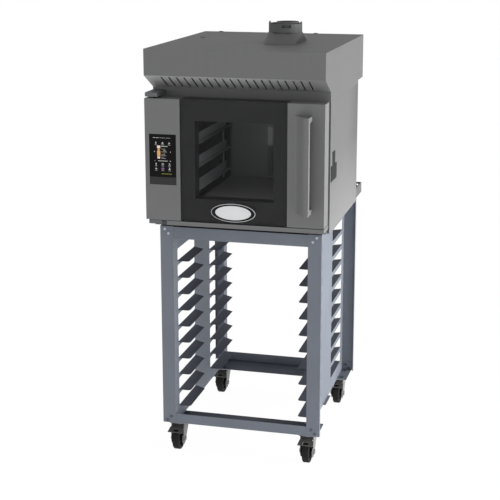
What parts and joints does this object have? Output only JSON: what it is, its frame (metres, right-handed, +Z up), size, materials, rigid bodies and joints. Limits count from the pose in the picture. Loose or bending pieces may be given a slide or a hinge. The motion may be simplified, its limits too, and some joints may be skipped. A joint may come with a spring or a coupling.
{
  "type": "convection oven on rack stand",
  "caption": "Convection oven with a side-hinged glass door, a condensing hood on top and a tray stand on swivel casters.",
  "frame": {"origin": "on the floor below the middle of the whole object, measured over handle, bolts and side bracket", "axes": "+X to the right seen from the front, +Y to the back, +Z up"},
  "size_m": [0.6015, 0.811, 1.487],
  "materials": {
    "stand_paint": "satin grey-blue powder coat",
    "slide_paint": "satin dark grey-blue powder coat",
    "zinc": "zinc plated",
    "fork_steel": "satin grey",
    "tyre": "matt black rubber on a grey hub",
    "pedal_black": "satin dark grey",
    "casing_steel": "satin brushed",
    "frame_dark": "satin dark grey",
    "chamber_steel": "bright satin",
    "blanket": "mineral wool",
    "seal": "matt silicone",
    "heater": "heat-tinted steel sheath",
    "motor": "painted casting",
    "light": "frosted",
    "board": "glass-fibre laminate",
    "black_plastic": "matt",
    "door_steel": "satin brushed, fine vertical grain",
    "border": "gloss black",
    "outer_pane": "tinted, with a black printed border",
    "inner_pane": "clear, heat reflecting",
    "panel_glass": "gloss black touch panel",
    "flap": "matt dark grey",
    "badge": "satin",
    "bush": "plain",
    "filter": "plain",
    "blower": "plain",
    "bracket": "satin dark grey"
  },
  "bodies": {
    "frame": {"stand_side_left": "stand_paint", "stand_side_right": "stand_paint", "tray_slides": "slide_paint", "rail_front_top": "stand_paint", "rail_front_bottom": "stand_paint", "rails_rear": "stand_paint", "bolts_and_screws": "zinc", "caster_plates": "zinc", "base_pan": "casing_steel", "side_panel_left": "casing_steel", "side_panel_right": "casing_steel", "top_panel": "casing_steel", "back_panel": "casing_steel", "front_frame": "frame_dark", "chamber": "chamber_steel", "insulation": "blanket", "door_gasket": "seal", "rack_left": "chamber_steel", "rack_right": "chamber_steel", "fan_guard": "chamber_steel", "fan_motor": "motor", "heater_coil": "heater", "cavity_light": "light", "drip_tray": "casing_steel", "hinge_plates": "frame_dark", "latch_magnet": "frame_dark", "feet": "seal", "side_bracket": "bracket", "rear_bracket": "bracket", "power_board": "board", "cable_gland": "black_plastic", "hood_shell": "casing_steel", "hood_front": "casing_steel", "flue_collar": "casing_steel", "grease_filter": "filter", "blower_housing": "casing_steel"},
    "door": {"door_column_left": "door_steel", "door_column_right": "door_steel", "door_frame": "border", "outer_glass": "outer_pane", "inner_glass": "inner_pane", "control_glass": "panel_glass", "handle": "door_steel", "badge_plate": "badge", "hinge_bushes": "bush"},
    "port_flap": {"usb_flap": "flap"},
    "fan": {"fan_impeller": "chamber_steel"},
    "blower": {"blower_wheel": "blower"},
    "swivel_front_left": {"fork_front_left": "fork_steel"},
    "roller_front_left": {"wheel_front_left": "tyre"},
    "brake_front_left": {"pedal_front_left": "pedal_black"},
    "swivel_front_right": {"fork_front_right": "fork_steel"},
    "roller_front_right": {"wheel_front_right": "tyre"},
    "brake_front_right": {"pedal_front_right": "pedal_black"},
    "swivel_rear_left": {"fork_rear_left": "fork_steel"},
    "roller_rear_left": {"wheel_rear_left": "tyre"},
    "brake_rear_left": {"pedal_rear_left": "pedal_black"},
    "swivel_rear_right": {"fork_rear_right": "fork_steel"},
    "roller_rear_right": {"wheel_rear_right": "tyre"},
    "brake_rear_right": {"pedal_rear_right": "pedal_black"}
  },
  "joints": [
    {"name": "door_hinge", "type": "hinge", "parent": "frame", "child": "door", "pos_m": [-0.284, -0.3245, 1.055], "axis": [0, 0, -1], "range_deg": [0, 120]},
    {"name": "flap_hinge", "type": "hinge", "parent": "door", "child": "port_flap", "pos_m": [-0.2395, -0.346, 0.9967], "axis": [-1, 0, 0], "range_deg": [0, 90]},
    {"name": "fan_spin", "type": "hinge", "parent": "frame", "child": "fan", "pos_m": [-0.205, -0.0395, 1.055], "axis": [1, 0, 0], "continuous": true},
    {"name": "blower_spin", "type": "hinge", "parent": "frame", "child": "blower", "pos_m": [0.092, -0.0055, 1.34], "axis": [0, 0, 1], "continuous": true},
    {"name": "swivel_front_left_turn", "type": "hinge", "parent": "frame", "child": "swivel_front_left", "pos_m": [-0.232, -0.2175, 0.1], "axis": [0, 0, 1], "continuous": true},
    {"name": "roller_front_left_turn", "type": "hinge", "parent": "swivel_front_left", "child": "roller_front_left", "pos_m": [-0.232, -0.2435, 0.04], "axis": [1, 0, 0], "continuous": true},
    {"name": "brake_front_left_turn", "type": "hinge", "parent": "swivel_front_left", "child": "brake_front_left", "pos_m": [-0.232, -0.2475, 0.088], "axis": [1, 0, 0], "range_deg": [0, 16]},
    {"name": "swivel_front_right_turn", "type": "hinge", "parent": "frame", "child": "swivel_front_right", "pos_m": [0.232, -0.2175, 0.1], "axis": [0, 0, 1], "continuous": true},
    {"name": "roller_front_right_turn", "type": "hinge", "parent": "swivel_front_right", "child": "roller_front_right", "pos_m": [0.232, -0.2435, 0.04], "axis": [1, 0, 0], "continuous": true},
    {"name": "brake_front_right_turn", "type": "hinge", "parent": "swivel_front_right", "child": "brake_front_right", "pos_m": [0.232, -0.2475, 0.088], "axis": [1, 0, 0], "range_deg": [0, 16]},
    {"name": "swivel_rear_left_turn", "type": "hinge", "parent": "frame", "child": "swivel_rear_left", "pos_m": [-0.232, 0.3495, 0.1], "axis": [0, 0, 1], "continuous": true},
    {"name": "roller_rear_left_turn", "type": "hinge", "parent": "swivel_rear_left", "child": "roller_rear_left", "pos_m": [-0.232, 0.3235, 0.04], "axis": [1, 0, 0], "continuous": true},
    {"name": "brake_rear_left_turn", "type": "hinge", "parent": "swivel_rear_left", "child": "brake_rear_left", "pos_m": [-0.232, 0.3195, 0.088], "axis": [1, 0, 0], "range_deg": [0, 16]},
    {"name": "swivel_rear_right_turn", "type": "hinge", "parent": "frame", "child": "swivel_rear_right", "pos_m": [0.232, 0.3495, 0.1], "axis": [0, 0, 1], "continuous": true},
    {"name": "roller_rear_right_turn", "type": "hinge", "parent": "swivel_rear_right", "child": "roller_rear_right", "pos_m": [0.232, 0.3235, 0.04], "axis": [1, 0, 0], "continuous": true},
    {"name": "brake_rear_right_turn", "type": "hinge", "parent": "swivel_rear_right", "child": "brake_rear_right", "pos_m": [0.232, 0.3195, 0.088], "axis": [1, 0, 0], "range_deg": [0, 16]}
  ]
}
